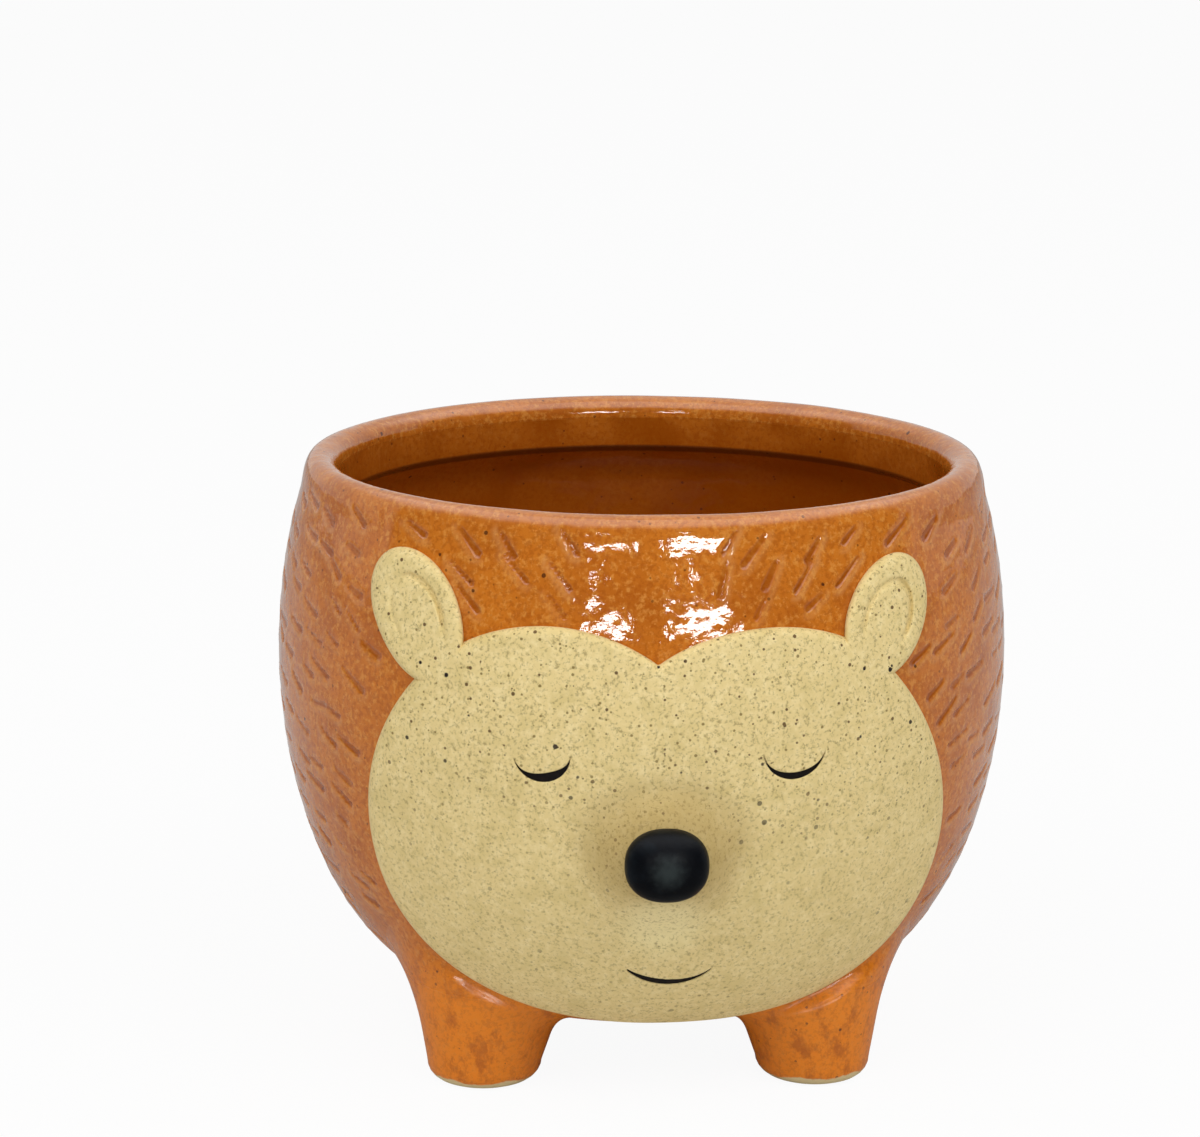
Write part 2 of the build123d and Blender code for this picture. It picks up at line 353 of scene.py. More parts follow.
def even_turns(columns):
    """Angle of each column of a rolled sheet."""
    return np.arange(columns) * FULL_TURN / columns


def column_numbers(turns, columns):
    """Number of the column that each angle lies on."""
    return np.rint(turns * columns / FULL_TURN).astype(int) % columns


def joined_rows(mesh, *rows):
    """Bridge two open ends of rolled sheets, given by their row numbers."""
    ends = [edge for edge in mesh.edges if edge.is_boundary and round(edge.verts[0].co.z) in rows]
    bmesh.ops.bridge_loops(mesh, edges=ends)


def finished(mesh, name, places, node):
    """Put every vertex in its place in metres, link the piece under the planter and hide its CAD node."""
    for vert, place in zip(mesh.verts, places):
        vert.co = Vector(place) * MM
    bmesh.ops.recalc_face_normals(mesh, faces=mesh.faces)
    if mesh.calc_volume(signed=True) < 0:  # a thin bent slip can come out of that inside out
        bmesh.ops.reverse_faces(mesh, faces=mesh.faces)
    data = bpy.data.meshes.new(name)
    mesh.to_mesh(data)
    mesh.free()
    data.shade_smooth()
    piece = bpy.data.objects.new(name, data)
    bpy.context.scene.collection.objects.link(piece)
    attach(piece, "planter")
    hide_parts(node)
    return piece


def with_field(piece, name, values):
    """Keep one number for each vertex, for the glaze to read."""
    field = piece.data.attributes.new(name, "FLOAT", "POINT")
    field.data.foreach_set("value", np.asarray(values, dtype=np.float32))


# Inside, from a little below the lip, the glaze is painted darker: a painted shade down the bowl's inside.
inside_shade, inside_shade_depth = 0.8, 12.0
# It breaks pale where it runs thin, over the rim's crown and over the burrs.
crown_thin, crown_thin_from, crown_thin_depth = 0.3, 117.0, 2.6

outside = outer_path()
low_steps = np.arange(0, low_length, low_step)
steps = np.concatenate([low_steps, np.arange(low_length, longest_path, outer_step)])
outside, outside_lengths = even_rows(outside, steps)
inside = inner_path()
outer_rows, inner_rows = len(outside), len(inside)

pot = bmesh.new()
rolled_sheet(pot, outer_rows, outer_columns)
rolled_sheet(pot, inner_rows, inner_columns, outer_rows)
joined_rows(pot, outer_rows - 1, outer_rows)
joined_rows(pot, 0, outer_rows + inner_rows - 1)

rows, turns = rows_and_turns(pot)
rows = np.rint(rows).astype(int)
both_paths = np.concatenate([outside, inside])
section = both_paths[rows]
ahead = np.gradient(both_paths, axis=0)
ahead /= np.linalg.norm(ahead, axis=1)[:, None]
side = np.column_stack([np.cos(turns), np.sin(turns)])
places = np.column_stack([section[:, :1] * side, section[:, 1]]) + (0, axis_y, 0)
outward = np.column_stack([ahead[rows, 1:] * side, -ahead[rows, 0]])

column_turns = even_turns(outer_columns)
column_bearings = np.arctan2(np.cos(column_turns), -np.sin(column_turns))
marks = fur_marks(outside[:, 0], outside[:, 1], outside_lengths)
distance, pool, burrs, inward = pressed(outside[:, 0], outside_lengths, column_bearings, marks)
on_outside = rows < outer_rows
cell = (np.where(on_outside, rows, 0), column_numbers(turns, outer_columns))
sunk = np.where(on_outside, inward[cell], 0)
below_lip = np.clip((rim_height - places[:, 2]) / inside_shade_depth, 0, 1)
places -= outward * (waves(places) + sunk)[:, None]
thin_crown = crown_thin * smooth_step(crown_thin_from, crown_thin_from + crown_thin_depth, places[:, 2])
pot_piece = finished(pot, "glazed_pot", places, "pot_body")
with_field(pot_piece, "fur", np.where(on_outside, distance[cell], -1))
# Outside, the pool field holds glaze pooled in the marks; inside, the painted shade below the lip.
with_field(pot_piece, "pool", np.where(on_outside, pool[cell], inside_shade * below_lip))
with_field(pot_piece, "thin", np.maximum(thin_crown, np.where(on_outside, burrs[cell], 0)))


class Wire:
    """One socket of a finish, so that its shader maths reads as plain arithmetic."""

    def __init__(self, finish, socket):
        self.finish = finish
        self.socket = socket

    def output(self, name):
        """Another output of the same node."""
        return Wire(self.finish, self.socket.node.outputs[name])

    def maths(self, operation, first, second):
        return self.finish.node("ShaderNodeMath", {"operation": operation}, {0: first, 1: second})

    def __add__(self, other):
        return self.maths("ADD", self, other)

    def __sub__(self, other):
        return self.maths("SUBTRACT", self, other)

    def __rsub__(self, other):
        return self.maths("SUBTRACT", other, self)

    def __mul__(self, other):
        return self.maths("MULTIPLY", self, other)

    __radd__ = __add__


# Every grain has a ragged outline: the size of its wobble in millimetres, its reach as a share of the
# largest grain's radius, and how softly its edge and its chance begin.
ragged_size, ragged_reach = 0.5, 0.35
grain_blur, chance_blur = 0.06, 0.02


class Finish:
    """The node tree of a material or of the world, built node by node."""

    def __init__(self, owner):
        owner.use_nodes = True
        self.owner = owner
        self.tree = owner.node_tree
        self.tree.nodes.clear()

    def node(self, kind, settings=None, values=None, result=0):
        """Add a node, with its settings first and then values or wires for its sockets."""
        made = self.tree.nodes.new(kind)
        for name, value in (settings or {}).items():
            setattr(made, name, value)
        for name, value in (values or {}).items():
            if isinstance(value, Wire):
                self.tree.links.new(value.socket, made.inputs[name])
            else:
                made.inputs[name].default_value = value
        return Wire(self, made.outputs[result])

    def vector(self, operation, first, second, result="Vector"):
        """Vector maths, on wires or on fixed vectors."""
        return self.node("ShaderNodeVectorMath", {"operation": operation}, {0: first, 1: second}, result)

    def place(self):
        return self.node("ShaderNodeTexCoord", result="Object")

    def axis(self, name, vector):
        """One part of a vector, X, Y or Z."""
        return self.node("ShaderNodeSeparateXYZ", None, {0: vector}, name)

    def height(self):
        """Height above the table in millimetres."""
        return self.axis("Z", self.place()) * (1 / MM)

    def from_point(self, height, squash=1.0):
        """Millimetres from a height of the middle line, seen from the front, with rings that lie flatter."""
        flat = self.vector("MULTIPLY", self.place(), (1 / MM, 0, squash / MM))
        return self.vector("DISTANCE", flat, (0, 0, height * squash), "Value")

    def field(self, name):
        """A number kept for each vertex, 0 on a piece that has none."""
        return self.node("ShaderNodeAttribute", {"attribute_name": name}, None, "Fac")

    def ray(self, kind):
        """1 where the camera looks, or where a reflection does, 0 elsewhere."""
        return self.node("ShaderNodeLightPath", result="Is " + kind + " Ray")

    def step(self, value, low, high):
        """Soft step from 0 at low to 1 at high."""
        values = {"Value": value, "From Min": low, "From Max": high}
        return self.node("ShaderNodeMapRange", {"interpolation_type": "SMOOTHSTEP"}, values)

    def cloud(self, size, detail=2, roughness=0.5, stretch=(1, 1, 1)):
        """Soft noise whose patches are about a size in millimetres across."""
        place = self.node("ShaderNodeMapping", None, {"Vector": self.place(), "Scale": stretch})
        values = {"Vector": place, "Scale": 1 / (size * MM), "Detail": detail, "Roughness": roughness}
        return self.node("ShaderNodeTexNoise", None, values, "Fac")

    def patches(self, size, detail, roughness, edge, strength=1.0, stretch=(1, 1, 1)):
        """Patches of a strength, which begin and end where the noise passes the two levels of an edge."""
        return self.step(self.cloud(size, detail, roughness, stretch), *edge) * strength

    def ripple(self, size, detail, strength, base=0.0):
        """Soft noise, a half on average, times a strength and on top of a base."""
        return base + self.cloud(size, detail) * strength

    def specks(self, cell, smallest, largest, share, strength):
        """Dark grains, at most one to a cell, of radii in millimetres; a share of the cells has one."""
        values = {"Vector": self.place(), "Scale": 1 / (ragged_size * MM)}
        wobble = self.node("ShaderNodeTexNoise", None, values, "Color")
        wobble = self.vector("MULTIPLY", wobble, (ragged_reach * largest * MM,) * 3)
        values = {"Vector": self.vector("ADD", self.place(), wobble), "Scale": 1 / (cell * MM)}
        nearest = self.node("ShaderNodeTexVoronoi", {"feature": "F1"}, values)
        chance = self.node("ShaderNodeSeparateColor", None, {"Color": nearest.output("Color")})
        radius = (smallest + chance.output("Green") * (largest - smallest)) * (1 / cell)
        chosen = self.step(chance, 1 - share, 1 - share + chance_blur)
        return self.step(radius * chosen - nearest, 0.0, grain_blur * smallest) * strength

    def layers(self, colour, *others):
        """A colour with others laid over it in turn, each given after the mask of where it lies."""
        for mask, other in others:
            values = {"Factor": mask, 6: colour, 7: other}
            colour = self.node("ShaderNodeMix", {"data_type": "RGBA"}, values, 2)
        return colour

    def surface(self, colour, roughness, relief, ior):
        """The finished material: its one shader, over a relief in millimetres, and its output."""
        bump = self.node("ShaderNodeBump", None, {"Height": relief, "Distance": MM})
        values = {"Base Color": colour, "Roughness": roughness, "Normal": bump, "IOR": ior}
        return self.ended("ShaderNodeOutputMaterial", self.node("ShaderNodeBsdfPrincipled", None, values))

    def ended(self, kind, shader):
        """Lead the last shader to its output, and give the material or the world."""
        self.tree.links.new(shader.socket, self.tree.nodes.new(kind).inputs["Surface"])
        return self.owner


def paint(red, green, blue):
    """A colour as it is seen, from 0 to 255, as the shader's linear one."""
    channels = [value / 255 for value in (red, green, blue)]
    linear = [value / 12.92 if value <= 0.04045 else ((value + 0.055) / 1.055) ** 2.4 for value in channels]
    return (*linear, 1)


# Glaze: clear amber over a buff body, cloudy, redder where it lies thick in the marks, with iron
# grains burnt through it. It is left off the soles, where the bare clay shows in a thin uneven band.
amber = paint(197, 113, 32)
amber_deep = paint(162, 80, 16)
amber_pale = paint(214, 144, 64)
amber_thin = paint(212, 156, 96)
# Painted light: brighter, more saturated amber on the feet, for the light thrown up by the white floor.
amber_foot_painted_light = paint(230, 130, 10)
amber_streak = paint(158, 74, 8)
# Glaze pooled in the marks, and inside the pot the same colour as a painted shade.
pooled_and_shade = paint(146, 68, 2)
# This brown paints the iron grains, and also the painted shadow line in the undercut.
iron_and_shadow = paint(74, 38, 16)
bare_clay = paint(214, 196, 148)

# Patches: size in millimetres, detail, roughness, the noise's levels at their edge, strength, stretch.
deep_clouds = (11.0, 3, 0.5, (0.4, 0.75), 0.6)
foot_streaks = (4.0, 4, 0.7, (0.5, 0.68), 0.6, (1, 1, 0.6))
pale_mottle = (1.3, 4, 0.7, (0.48, 0.64))
deep_mottle = (1.0, 4, 0.7, (0.46, 0.62))
bowl_pools = (22.0, 1, 0.5, (0.44, 0.6), 0.6)
# Grains: size of a cell, least and greatest radius in millimetres, share of the cells, strength.
fine_iron = (2.2, 0.16, 0.34, 0.4, 0.6)
coarse_iron = (6.5, 0.3, 0.55, 0.55, 0.85)
# How strongly the mottles show on the wall, and how much less on the feet and inside.
pale_share, pale_less_on_foot, pale_less_inside = 0.65, 0.5, 0.35
deep_share, deep_less_on_foot = 0.6, 0.3
foot_painted_light_share, thin_share, pooled_and_shade_share = 0.9, 0.42, 0.88
# The field fur holds the millimetres to the nearest mark's edge, and -1 inside the pot.
mark_edge, inside_edge = (0.2, -0.3), (-0.85, -0.95)
# Below this height the feet are painted brighter, a painted light, as well as streaked and duller.
foot_glaze_top, foot_glaze_edge = 33.0, 15.0
# Painted shadow in the undercut, a dark line: its drop below the collar, the squares of its half width,
# share.
painted_undercut_shadow, painted_undercut_shadow_edge, painted_undercut_shadow_share = 0.3, (1.1, 0.2), 0.7
bare_top, bare_blur = 1.6, 0.2
# Ripples: size in millimetres, detail, strength, base.
bare_wander, bare_ragged = (9.0, 1, 4.0), (1.5, 2, 0.8)
glaze_dullness = (6.0, 2, 0.04, 0.03)
foot_dullness, bare_dullness = 0.25, 0.3
glaze_swell, glaze_grain, mark_relief = (5.0, 1, 0.2), (1.3, 2, 0.035), 0.15


def amber_glaze():
    finish = Finish(bpy.data.materials.new("amber_glaze"))
    fur, low = finish.field("fur"), finish.height()
    # Outside, glaze pooled in the marks; inside the pot, a painted shade.
    mark_pool_and_inside_shade = finish.step(fur, *mark_edge) * finish.field("pool")
    # On the feet: a painted light, streaks and a duller glaze.
    on_foot = finish.step(low, foot_glaze_top, foot_glaze_top - foot_glaze_edge)
    within = finish.step(fur, *inside_edge)
    pale = pale_share - on_foot * pale_less_on_foot - within * pale_less_inside
    deep = deep_share - on_foot * deep_less_on_foot
    # Painted shadow: a dark line just under the collar, where the undercut lies in shade.
    under = low - (collar_bottom - painted_undercut_shadow)
    line = finish.step(under * under, *painted_undercut_shadow_edge) * painted_undercut_shadow_share
    ragged = finish.ripple(*bare_wander) + finish.ripple(*bare_ragged)
    middle = bare_top + (bare_wander[-1] + bare_ragged[-1]) / 2
    bare = finish.step(low + ragged, middle + bare_blur, middle - bare_blur)
    colour = finish.layers(
        amber,
        (finish.patches(*deep_clouds), amber_deep),
        (on_foot * foot_painted_light_share, amber_foot_painted_light),
        (finish.patches(*foot_streaks) * on_foot, amber_streak),
        (finish.patches(*pale_mottle) * pale, amber_pale),
        (finish.patches(*deep_mottle) * deep, amber_deep),
        (finish.field("thin") * thin_share, amber_thin),
        (mark_pool_and_inside_shade * pooled_and_shade_share, pooled_and_shade),
        (finish.patches(*bowl_pools) * within, pooled_and_shade),
        (line * within, iron_and_shadow),
        (finish.specks(*fine_iron), iron_and_shadow),
        (finish.specks(*coarse_iron), iron_and_shadow),
        (bare, bare_clay),
    )
    dull = finish.ripple(*glaze_dullness) + on_foot * foot_dullness + bare * bare_dullness
    relief = finish.ripple(*glaze_swell) + finish.ripple(*glaze_grain) - mark_pool_and_inside_shade * mark_relief
    return finish.surface(colour, dull, relief, ior=1.5)


glaze = amber_glaze()
pot_piece.data.materials.append(glaze)


# The feet: four short stumps of the same clay, pressed on while wet and smoothed into the belly with
# a wet finger, then glazed with the pot. Only their flat soles and a thin band above stay bare.
sole_radius = 10.5
sole_round = 3.4
sole_shares = (0, 0.35, 0.7, 0.94)
sole_turn_step = 15
foot_lean_angle = 5.0
foot_taper_angle = 15.0
inner_blend, outer_blend = 4.2, {"left": 16.5, "right": 15.0}
blend_turn = 12.0
skirt_length = 2.0
skirt_shares = (0.25, 0.5, 0.75, 1.0)
skirt_sink = 0.35
skirt_probe = 0.2
landing_sink = 0.05
foot_columns = 240
stump_rows = 8
blend_rows = 28
hidden_depth = 2.5
lapped_rise = 1.25
lapped_edge = (-2.6, 0.3)
# Where a foot's side meets the belly is found by halving the height, up to the highest it can be. The
# belly's underside counts up to just short of its widest place.
highest_root, root_halvings, underside_share = 60.0, 40, 0.9999
sole_fade = 4.0
foot_wave_share = 0.8


def pot_underside(x, y):
    """Height of the pot's outside over a point under the belly."""
    bulge, rise = widest_radius - base_radius, belly_height - base_height
    share = np.clip((np.hypot(x, y - axis_y) - base_radius) / bulge, 0, underside_share)
    return belly_height - rise * np.sqrt(1 - share ** 2)


def foot_places(sole, turns, widest_blend):
    """Rows of a foot's surface, from the middle of the sole up the stump and out over the belly."""
    right, back = math.copysign(1, sole.x), math.copysign(1, sole.y - axis_y)
    centre = np.array([sole.x, sole.y])
    aim = np.column_stack([np.cos(turns), np.sin(turns)])
    inward = -np.array([right, back]) * math.tan(math.radians(foot_lean_angle))
    widen = math.tan(math.radians(foot_taper_angle))

    def stump(height):
        """Points of the stump's side at one height for each turn."""
        height = np.broadcast_to(height, turns.shape)[:, None]
        return np.column_stack([centre + inward * height + aim * (sole_radius + widen * height), height])

    low, high = np.zeros_like(turns), np.full_like(turns, highest_root)
    for _ in range(root_halvings):
        middle = (low + high) / 2
        point = stump(middle)
        below = pot_underside(point[:, 0], point[:, 1]) > point[:, 2]
        low, high = np.where(below, middle, low), np.where(below, high, middle)
    root_height = (low + high) / 2
    root = stump(root_height)
    turn = math.radians(blend_turn)
    outer_share = (1 + aim @ np.array([right * math.cos(turn), back * math.sin(turn)])) / 2
    blend = inner_blend + (widest_blend - inner_blend) * outer_share ** 2

    def skirt(reach):
        """Points on the belly at one distance outwards from the stump's root."""
        flat = root[:, :2] + aim * reach
        return np.column_stack([flat, pot_underside(flat[:, 0], flat[:, 1])])

    slope = skirt(skirt_probe) - skirt(0.0)
    slope /= np.linalg.norm(slope, axis=1)[:, None]
    reach = (blend * (slope[:, :2] * aim).sum(axis=1))[:, None]
    leaving, landing = stump(root_height - blend), skirt(reach) + (0, 0, landing_sink)
    flat_radius = sole_radius - sole_round
    made = [np.column_stack([centre + aim * flat_radius * share, 0 * turns]) for share in sole_shares]
    round_foot = stump(sole_round)[:, :2] - centre
    for angle in np.radians(np.arange(0, 90, sole_turn_step)):
        edge = centre + round_foot * (flat_radius + sole_round * math.sin(angle)) / sole_radius
        made.append(np.column_stack([edge, np.full_like(turns, sole_round * (1 - math.cos(angle)))]))
    for row in range(stump_rows):
        made.append(stump(sole_round + (root_height - blend - sole_round) * row / stump_rows))
    for t in np.linspace(0, 1, blend_rows):
        made.append(leaving * (1 - t) ** 2 + root * 2 * t * (1 - t) + landing * t ** 2)
    for share in skirt_shares:
        made.append(skirt(reach + skirt_length * share) + (0, 0, landing_sink + skirt_sink * share ** 2))
    hidden = root + (0, 0, hidden_depth)
    made += [hidden, np.broadcast_to(hidden.mean(axis=0), hidden.shape)]
    return np.array(made)


def closed_sheet(rows, columns):
    """Rolled sheet whose first and last rows are each drawn together to a point."""
    mesh = bmesh.new()
    rolled_sheet(mesh, rows, columns)
    for row in (0, rows - 1):
        ring = [vert for vert in mesh.verts if round(vert.co.z) == row]
        bmesh.ops.pointmerge(mesh, verts=ring, merge_co=(0, 0, row))
    return mesh


for end in ("front", "rear"):
    for hand in ("left", "right"):
        name = end + "_" + hand
        grid = foot_places(mounts["sole_" + name], even_turns(foot_columns), outer_blend[hand])
        foot = closed_sheet(len(grid), foot_columns)
        rows, turns = rows_and_turns(foot)
        places = grid[np.rint(rows).astype(int), column_numbers(turns, foot_columns)]
        inward = foot_wave_share * (np.clip(places[:, 2] / sole_fade, 0, 1) * waves(places))
        radial = places - (0, axis_y, 0)
        radial[:, 2] = 0
        reach = np.linalg.norm(radial, axis=1)
        places[:, 2] += inward
        proud = np.maximum(reach - belly_radius(places[:, 2]) - lapped_rise, 0) * (places[:, 1] < 0)
        lapped = proud * smooth_step(*lapped_edge, inside_face(places[:, 0], places[:, 2]))
        places -= ((inward + lapped) / np.maximum(reach, 1))[:, None] * radial
        piece = finished(foot, "glazed_foot_" + name, places, "foot_" + name)
        piece.data.materials.append(glaze)


# The face: a rolled sheet of pale speckled clay, cut to a disc with a heart-shaped top, pressed on
# the front and smoothed at its edge. It is left unglazed, and its snout is pinched out of it.
face_thickness = 1.8
face_edge = 1.5
face_sink = 0.5
face_columns = 480
face_rows = 64
edge_rows = 7
back_rows = 10
snout_height = 56.5
snout_reach = 80.8
snout_fall = 12.3
snout_radius = 14.8
snout_power = 2.5
snout_melt = 6.5
no_snout = -1000.0


def front_y(x, z, proud):
    """Place along Y of a skin over the pot's front, for a point of the front view."""
    return axis_y - np.sqrt(np.maximum(belly_radius(z, proud) ** 2 - x ** 2, 1))


def face_front(x, z, proud):
    """Place along Y of the face's surface, with the snout melted into it."""
    sheet = axis_y - front_y(x, z, proud)
    snout = snout_reach - snout_fall * (np.hypot(x, z - snout_height) / snout_radius) ** snout_power
    snout = np.where(proud > 0, snout, no_snout)
    overlap = np.maximum(snout_melt - np.abs(sheet - snout), 0) / snout_melt
    return axis_y - np.maximum(sheet, snout) - overlap ** 2 * snout_melt / 4


def sheet_rows(rows, edge, top, drop, sink):
    """Each row's share of the way out, inset from the outline and level, on a sheet with a round edge."""
    table = [(row / rows, edge, top) for row in range(rows)]
    for angle in np.radians(np.linspace(0, 90, edge_rows)):
        table.append((1, edge * (1 - math.sin(angle)), top - drop * (1 - math.cos(angle))))
    return np.array(table + [(1 - row / back_rows, 0, -sink) for row in range(back_rows + 1)])


def at_rows(table, rows):
    """The columns of a table of rows, for each vertex's row number."""
    return [np.interp(rows, np.arange(len(table)), column) for column in table.T]


def waved(places, front):
    """Places with the clay's waves pressed in towards the pot's axis, on the front alone."""
    out = places - (0, axis_y, 0)
    out[:, 2] = 0
    out /= np.linalg.norm(out, axis=1)[:, None]
    return places - np.where(front, waves(places), 0)[:, None] * out


# Eyes and mouth: slots carved in the damp sheet with a narrow loop, pointed at both ends. Each has its
# middle, its ends' height, width, sag, thickness and how much fuller it is to the right.
slot_depth = 1.15
slot_edge = (-0.1, 0.2)
slot_margin = 2.2
slot_cuts = 3
blunt = 0.24
slots = {
    "eye_left": (-22.8, 75.6, 10.5, 4.8, 1.7, 0.5),
    "eye_right": (24.6, 75.6, 11.8, 4.8, 1.35, 0.1),
    "mouth": (1.9, 31.3, 16.2, 3.4, 1.2, -0.4),
}


def sagging(x, width, sag):
    """Height of an arc under its ends, at a distance from its middle."""
    radius = (width ** 2 / 4 + sag ** 2) / (2 * sag)
    return radius - sag - np.sqrt(np.maximum(radius ** 2 - x ** 2, 0))


def slot_edges(x, slot, spread=0.0):
    """Heights of a slot's lower and upper edge, or of those of one a little larger all round."""
    middle, top, width, sag, stroke, fuller = slot
    across = (x - middle) / (width / 2 + spread)
    low = top + sagging(x - middle, width + 2 * spread, sag) - spread
    full = blunt + (1 - blunt) * np.maximum(1 - across ** 2, 0)
    return low, low + stroke * full * (1 + fuller * across) + 2 * spread


def inside_slot(x, z, slot):
    """How far a point of the front view lies inside a slot, negative outside it."""
    middle, _, width, sag, _, _ = slot
    low, high = slot_edges(x, slot)
    steep = np.sqrt(1 + (2 * sag * (x - middle) / (width / 2) ** 2) ** 2)
    return np.minimum(np.minimum(z - low, high - z) / steep, width / 2 - np.abs(x - middle))


face_table = sheet_rows(face_rows, face_edge, face_thickness, face_edge, face_sink)


def face_places(mesh):
    """Where each vertex of the face's sheet belongs, worked out from its row and its turn."""
    rows, turns = rows_and_turns(mesh)
    share, inset, rise = at_rows(face_table, rows)
    turns = wrapped(math.pi / 2 - turns)
    reach = share * (face_radius(turns) - inset)
    x, z = reach * np.sin(turns), face_centre_height + reach * np.cos(turns)
    y, front = face_front(x, z, rise), rise > 0
    for slot in slots.values():
        y = y + np.where(front, slot_depth * smooth_step(*slot_edge, inside_slot(x, z, slot)), 0)
    return waved(np.column_stack([x, y, z]), front)


face = closed_sheet(len(face_table), face_columns)
places = face_places(face)
near = np.zeros(len(places), bool)
for slot in slots.values():
    near |= inside_slot(places[:, 0], places[:, 2], slot) > -slot_margin
near &= rows_and_turns(face)[0] < face_rows
carved = {vert for vert, close in zip(face.verts, near) if close}
edges = [edge for edge in face.edges if carved.issuperset(edge.verts)]
bmesh.ops.subdivide_edges(face, edges=edges, cuts=slot_cuts, use_grid_fill=True)
face_piece = finished(face, "clay_face", face_places(face), "face_relief")

# Clay: buff stoneware with iron grains, from dust to small spots, matt and slightly open. Round the
# snout it is painted darker, a painted shade of the snout's sides, and just below the nose painted
# paler, a painted light.
cream = paint(226, 203, 140)
cream_pale = paint(239, 219, 162)
cream_shade = paint(203, 181, 114)
# Painted shade: the darker ring round the snout stands for the shade on the snout's sides.
cream_snout_shade = paint(164, 135, 72)
# Painted light: the paler patch just below the nose stands for light under the snout.
cream_painted_light = paint(246, 230, 172)
grain_olive = paint(132, 110, 54)
grain_brown = paint(98, 70, 32)
spot_brown = paint(34, 20, 12)
cream_clouds = (1.5, 4, 0.65, (0.42, 0.72), 0.75)
shade_clouds = (5.0, 3, 0.5, (0.45, 0.75), 0.4)
snout_shade_rise, snout_shade_squash = 2.0, 1.25
snout_shade_ragged = (7.0, 2, 5.0)
snout_shade_reach, snout_shade_share = (21.0, 9.0), 0.65
under_nose_light_height, under_nose_light_reach, under_nose_light_share = 43.0, (11.0, 3.0), 0.7
# The grains are sparse on the chin and rich on the brow.
rich_heights, rich_least = (45.0, 85.0), 0.38
dust, dust_least, dust_richer = (0.7, 3, 0.7, (0.5, 0.68)), 0.35, 0.25
olive_grains = (1.2, 0.15, 0.32, 0.36, 0.9)
brown_grains = (2.1, 0.2, 0.4, 0.5, 0.95)
brown_spots = (5.0, 0.3, 0.58, 0.6, 1.0)
clay_dullness = (3.0, 2, 0.2, 0.62)
clay_tooth, clay_swell = (0.8, 3, 0.06), (5.0, 1, 0.12)


def speckled_clay():
    finish = Finish(bpy.data.materials.new("speckled_clay"))
    # Painted shade: darker in a ragged ring round the snout.
    away = finish.from_point(snout_height + snout_shade_rise, snout_shade_squash)
    ragged = finish.ripple(*snout_shade_ragged) - snout_shade_ragged[-1] / 2
    rich = rich_least + finish.step(finish.height(), *rich_heights) * (1 - rich_least)
    colour = finish.layers(
        cream,
        (finish.patches(*cream_clouds), cream_pale),
        (finish.patches(*shade_clouds), cream_shade),
        (finish.step(away + ragged, *snout_shade_reach) * snout_shade_share, cream_snout_shade),
        # Painted light: paler just below the nose.
        (finish.step(finish.from_point(under_nose_light_height), *under_nose_light_reach) * under_nose_light_share, cream_painted_light),
        (finish.patches(*dust) * (dust_least + rich * dust_richer), grain_olive),
        (finish.specks(*olive_grains) * rich, grain_olive),
        (finish.specks(*brown_grains) * rich, grain_brown),
        (finish.specks(*brown_spots) * rich, spot_brown),
    )
    relief = finish.ripple(*clay_tooth) + finish.ripple(*clay_swell)
    return finish.surface(colour, finish.ripple(*clay_dullness), relief, ior=1.45)


clay = speckled_clay()
face_piece.data.materials.append(clay)

# Slip: liquid clay stained dark brown, run into the slots with a fine brush.
slip_dark = paint(8, 3, 4)
slip_brown = paint(24, 12, 10)
slip_clouds = (0.9, 3, 0.5, (0.4, 0.75))
slip_dullness = (0.6, 2, 0.2, 0.45)
slip_tooth = (0.5, 2, 0.06)
slip_recess = 0.35
slip_overlap = 0.3
slip_thickness = 0.5
slip_columns, slip_rows = 48, 6


def dark_slip():
    finish = Finish(bpy.data.materials.new("dark_slip"))
    colour = finish.layers(slip_dark, (finish.patches(*slip_clouds), slip_brown))
    return finish.surface(colour, finish.ripple(*slip_dullness), finish.ripple(*slip_tooth), ior=1.3)


slip = dark_slip()
for name, slot in slots.items():
    middle, _, width, _, _, _ = slot
    inlay = bmesh.new()
    bmesh.ops.create_grid(inlay, x_segments=slip_columns, y_segments=slip_rows, size=1)
    bmesh.ops.solidify(inlay, geom=inlay.faces[:], thickness=1)
    grid = np.array([vert.co for vert in inlay.verts])
    x = middle + grid[:, 0] * (width / 2 + slip_overlap)
    low, high = slot_edges(x, slot, slip_overlap)
    z = low + (high - low) * (grid[:, 1] + 1) / 2
    depth = slip_recess + slip_thickness * np.abs(grid[:, 2])
    y = face_front(x, z, np.full_like(x, face_thickness)) + depth + wave_mean
    piece = finished(inlay, "slip_" + name, np.column_stack([x, y, z]), name)
    piece.data.materials.append(slip)


# The ears: two thick tabs of the face's clay, pressed on above the brows and melted into the face,
# each with a horseshoe groove drawn round its hollow.
ear_rise = 1.95
ear_edge = 1.6
ear_sink = 0.6
ear_join_rise = 1.74
ear_join = (0.0, 3.5)
ear_root_lengths = {-1: 13.4, 1: 11.6}
ear_groove = 3.7
ear_groove_half = 0.45
# The groove is open at the root, and its depths are those of its inner and its outer branch.
ear_groove_open = (-0.75, -0.1)
ear_groove_turn = (-0.4, 0.4)
ear_groove_depths = {-1: (1.0, 0.35), 1: (0.65, 0.95)}
ear_hollow, ear_hollow_edge = 0.12, 2.0
ear_columns = 200
ear_rows = 44
ear_table = sheet_rows(ear_rows, ear_edge, 1, 1, ear_sink)


